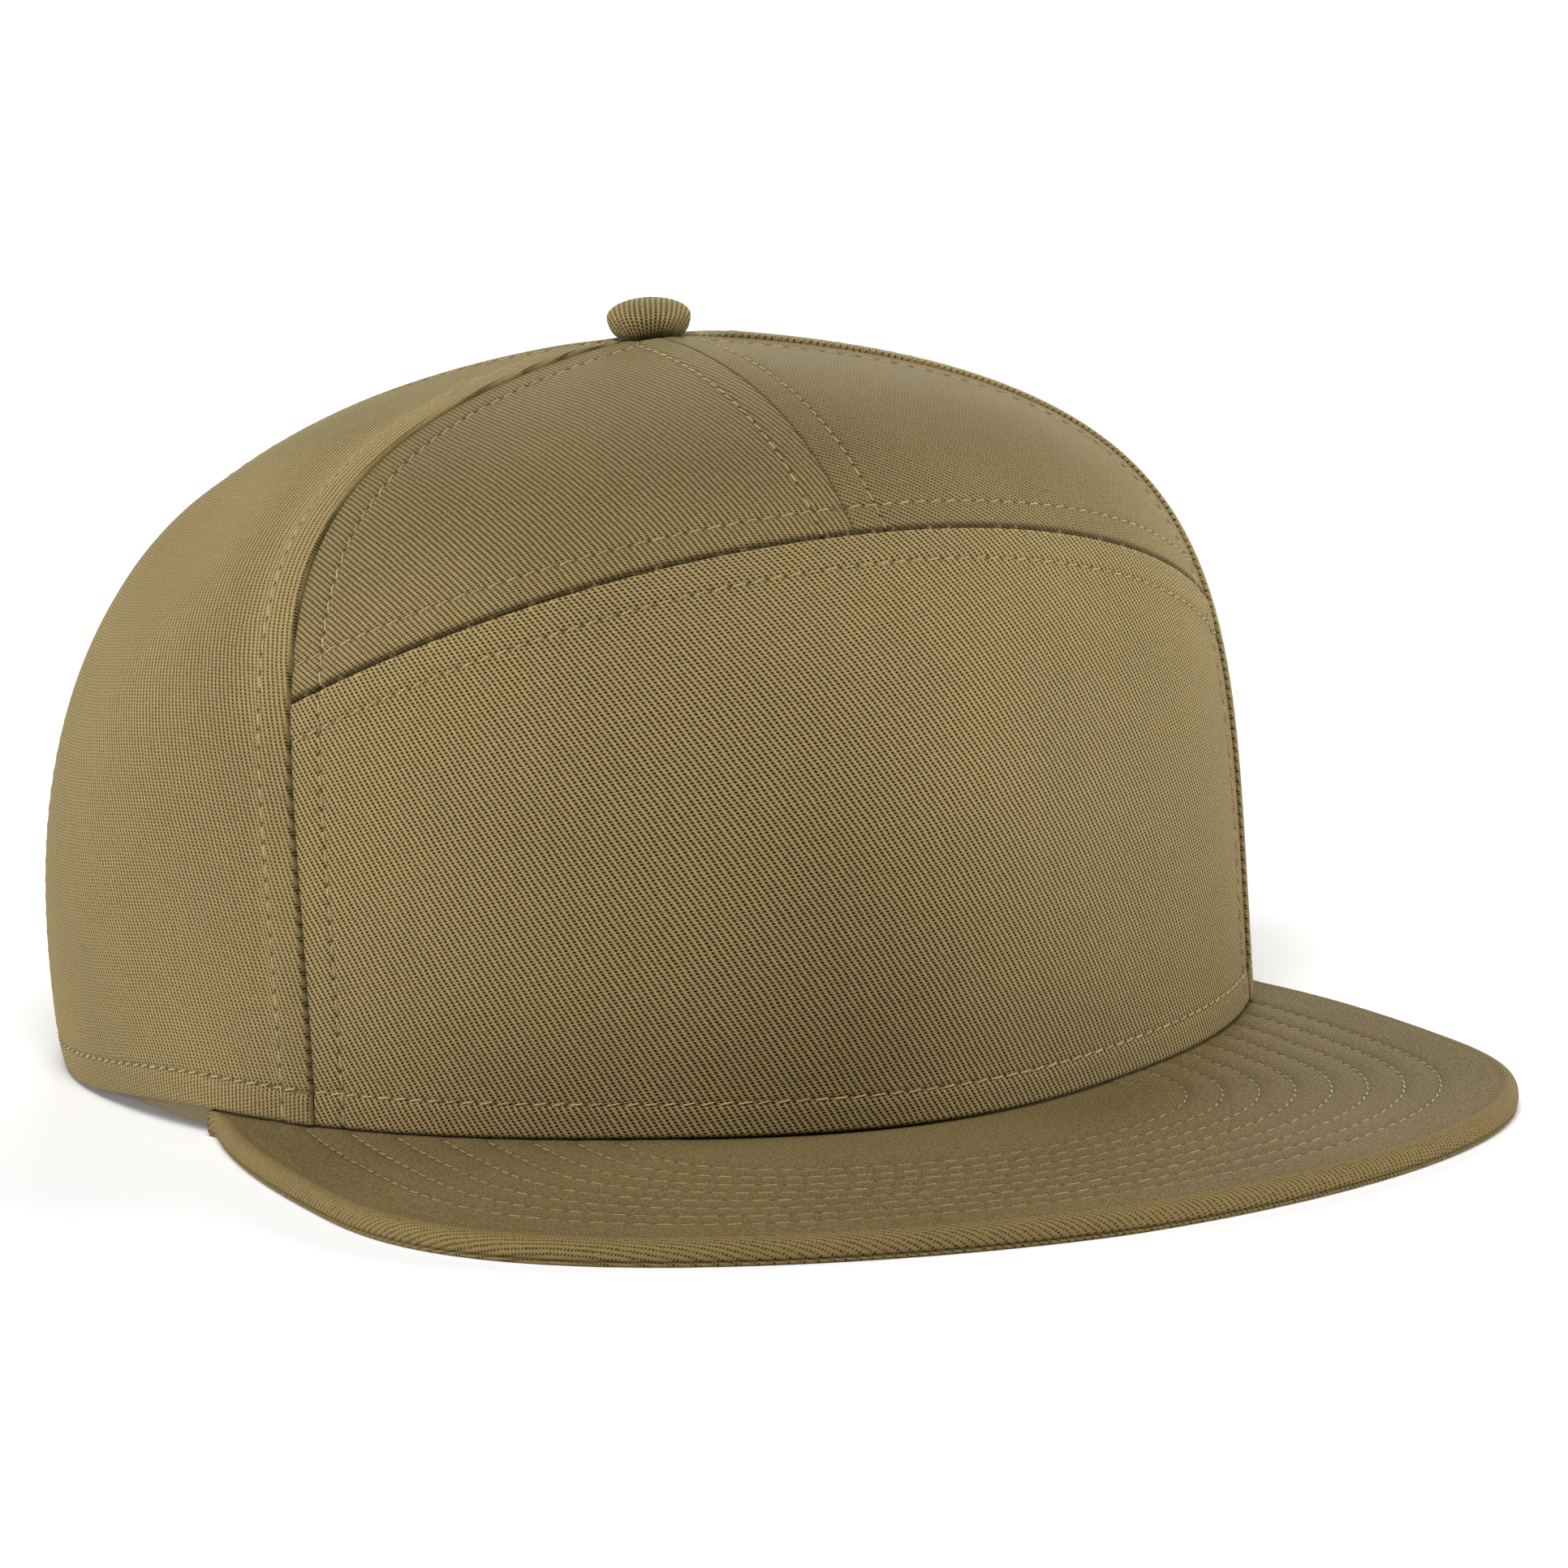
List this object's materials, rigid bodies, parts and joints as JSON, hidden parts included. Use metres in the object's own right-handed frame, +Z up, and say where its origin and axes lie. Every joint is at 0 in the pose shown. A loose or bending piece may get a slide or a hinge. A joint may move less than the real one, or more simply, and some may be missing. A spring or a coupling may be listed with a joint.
{
  "type": "snapback cap",
  "caption": "Flat-billed cloth cap: arched front panel, upper front, side and back panels, covered button, snap strap at the back.",
  "frame": {"origin": "under the middle of the cap's bounding box, on the surface that the cap stands on", "axes": "+X towards the wearer's left, the bill towards -Y, +Z up"},
  "size_m": [0.1886, 0.2642, 0.1197],
  "materials": {
    "cloth": "matt cotton twill with raised diagonal ribs, olive brown",
    "bill_cloth": "matt cotton twill stretched smooth over a stiff board, olive brown",
    "band_cloth": "plain cotton band, olive brown",
    "strap_plastic": "satin plastic, olive brown"
  },
  "bodies": {
    "root": {"front_panel": "cloth", "upper_front_panel_left": "cloth", "upper_front_panel_right": "cloth", "side_panel_left": "cloth", "side_panel_right": "cloth", "back_panel_left": "cloth", "back_panel_right": "cloth", "button": "cloth", "bill": "bill_cloth", "sweatband": "band_cloth", "snap_strap": "strap_plastic"}
  },
  "joints": []
}
